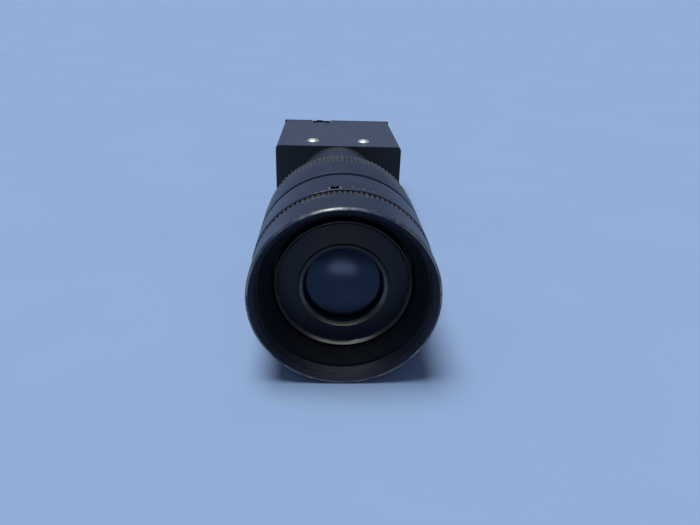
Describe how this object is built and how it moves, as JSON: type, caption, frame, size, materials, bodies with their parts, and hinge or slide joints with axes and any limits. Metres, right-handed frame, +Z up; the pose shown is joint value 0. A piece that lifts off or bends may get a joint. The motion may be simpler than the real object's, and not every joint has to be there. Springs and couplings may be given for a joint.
{
  "type": "box camera with manual lens",
  "caption": "Compact box-shaped video camera on an extension tube, with a manual lens that has knurled iris and focus rings and a deep threaded front rim.",
  "frame": {"origin": "mouth of the tripod thread, in the middle of the base plate's lower face", "axes": "+Z up out of the top cover, -Y along the optical axis out of the lens, +X to the right seen from the lens front with the body upright behind it"},
  "size_m": [0.0444, 0.1508, 0.044],
  "materials": {
    "block_black": "fine matt black paint",
    "cover_paint": "satin dark grey paint with a fine texture",
    "base_black": "satin black paint",
    "bright_screw": "bright nickel plate",
    "screw_steel": "plain steel",
    "black_screw": "black oxide",
    "ring_metal": "satin anodised",
    "gasket_rubber": "soft matt",
    "filter_glass": "polished, pale cyan coating",
    "inner_black": "matt black anodised",
    "sensor_ceramic": "unglazed",
    "sensor_glass": "polished",
    "circuit_board": "solder mask",
    "black_plastic": "moulded",
    "nickel": "satin nickel plate",
    "gold_contact": "gold flash",
    "white_insulator": "moulded",
    "trimmer_blue": "moulded",
    "lens_black": "satin black anodised, worn bright on the edges",
    "lens_glass": "polished, dim blue coating",
    "blade_steel": "blackened"
  },
  "bodies": {
    "camera": {"front_block": "block_black", "top_cover": "cover_paint", "base_plate": "base_black", "rear_panel": "block_black", "top_cover_screws": "bright_screw", "side_cover_screws": "screw_steel", "base_screws": "screw_steel", "c_mount_ring": "ring_metal", "mount_set_screws": "black_screw", "filter_gasket": "gasket_rubber", "infrared_filter": "filter_glass", "filter_retainer": "inner_black", "sensor_package": "sensor_ceramic", "sensor_window": "sensor_glass", "sensor_board": "circuit_board", "main_board": "circuit_board", "power_board": "circuit_board", "board_spacers": "screw_steel", "board_studs": "screw_steel", "board_nuts": "screw_steel", "board_connectors": "black_plastic", "multi_pin_shell": "nickel", "multi_pin_insert": "black_plastic", "multi_pin_contacts": "gold_contact", "multi_pin_nut": "nickel", "video_socket_shell": "nickel", "video_socket_insulator": "white_insulator", "video_socket_contact": "gold_contact", "video_socket_nut": "nickel", "mode_switch_body": "black_plastic", "gain_trimmer_case": "trimmer_blue", "extension_tube": "lens_black", "mount_barrel": "lens_black", "rear_cell": "inner_black", "rear_element": "lens_glass", "rear_retaining_ring": "inner_black", "relay_element": "lens_glass", "iris_housing": "inner_black", "iris_cover_plate": "inner_black", "fixed_barrel": "lens_black", "barrel_lock_screw": "black_screw"},
    "iris_ring": {"iris_ring": "lens_black", "iris_drive_screw": "screw_steel", "iris_drive_ring": "ring_metal"},
    "focus_ring": {"focus_ring": "lens_black"},
    "lens_cell": {"lens_cell": "inner_black", "focus_guide_pins": "screw_steel", "name_ring": "inner_black", "front_element": "lens_glass", "spacer_ring": "inner_black", "second_element": "lens_glass"},
    "mode_switch": {"mode_switch_slider": "black_plastic"},
    "gain_trimmer": {"gain_trimmer_rotor": "white_insulator"},
    "iris_blade_1": {"iris_blade_1": "blade_steel"},
    "iris_blade_2": {"iris_blade_2": "blade_steel"},
    "iris_blade_3": {"iris_blade_3": "blade_steel"},
    "iris_blade_4": {"iris_blade_4": "blade_steel"},
    "iris_blade_5": {"iris_blade_5": "blade_steel"},
    "iris_blade_6": {"iris_blade_6": "blade_steel"}
  },
  "joints": [
    {"name": "iris_turn", "type": "hinge", "parent": "camera", "child": "iris_ring", "pos_m": [0, -0.074, 0.0145], "axis": [0, -1, 0], "range_deg": [0, 75]},
    {"name": "focus_turn", "type": "hinge", "parent": "camera", "child": "focus_ring", "pos_m": [0, -0.1, 0.0145], "axis": [0, -1, 0], "range_deg": [0, 150]},
    {"name": "focus_slide", "type": "slide", "parent": "camera", "child": "lens_cell", "axis": [0, -1, 0], "range_m": [0, 0.0025]},
    {"name": "mode_slide", "type": "slide", "parent": "camera", "child": "mode_switch", "axis": [1, 0, 0], "range_m": [0, 0.002]},
    {"name": "gain_turn", "type": "hinge", "parent": "camera", "child": "gain_trimmer", "pos_m": [0.004, 0.0265, 0.0225], "axis": [0, 1, 0], "range_deg": [-135, 135]},
    {"name": "blade_turn_1", "type": "hinge", "parent": "camera", "child": "iris_blade_1", "pos_m": [0.0116, -0.069, 0.0145], "axis": [0, -1, 0], "range_deg": [0, 30]},
    {"name": "blade_turn_2", "type": "hinge", "parent": "camera", "child": "iris_blade_2", "pos_m": [0.0058, -0.069, 0.02455], "axis": [0, -1, 0], "range_deg": [0, 30]},
    {"name": "blade_turn_3", "type": "hinge", "parent": "camera", "child": "iris_blade_3", "pos_m": [-0.0058, -0.069, 0.02455], "axis": [0, -1, 0], "range_deg": [0, 30]},
    {"name": "blade_turn_4", "type": "hinge", "parent": "camera", "child": "iris_blade_4", "pos_m": [-0.0116, -0.069, 0.0145], "axis": [0, -1, 0], "range_deg": [0, 30]},
    {"name": "blade_turn_5", "type": "hinge", "parent": "camera", "child": "iris_blade_5", "pos_m": [-0.0058, -0.069, 0.00445], "axis": [0, -1, 0], "range_deg": [0, 30]},
    {"name": "blade_turn_6", "type": "hinge", "parent": "camera", "child": "iris_blade_6", "pos_m": [0.0058, -0.069, 0.00445], "axis": [0, -1, 0], "range_deg": [0, 30]}
  ],
  "couplings": [
    {"joint": "focus_slide", "follows": "focus_turn", "m_per_rad": 0.00095492},
    {"joint": "blade_turn_1", "follows": "iris_turn", "ratio": 0.4},
    {"joint": "blade_turn_2", "follows": "iris_turn", "ratio": 0.4},
    {"joint": "blade_turn_3", "follows": "iris_turn", "ratio": 0.4},
    {"joint": "blade_turn_4", "follows": "iris_turn", "ratio": 0.4},
    {"joint": "blade_turn_5", "follows": "iris_turn", "ratio": 0.4},
    {"joint": "blade_turn_6", "follows": "iris_turn", "ratio": 0.4}
  ]
}
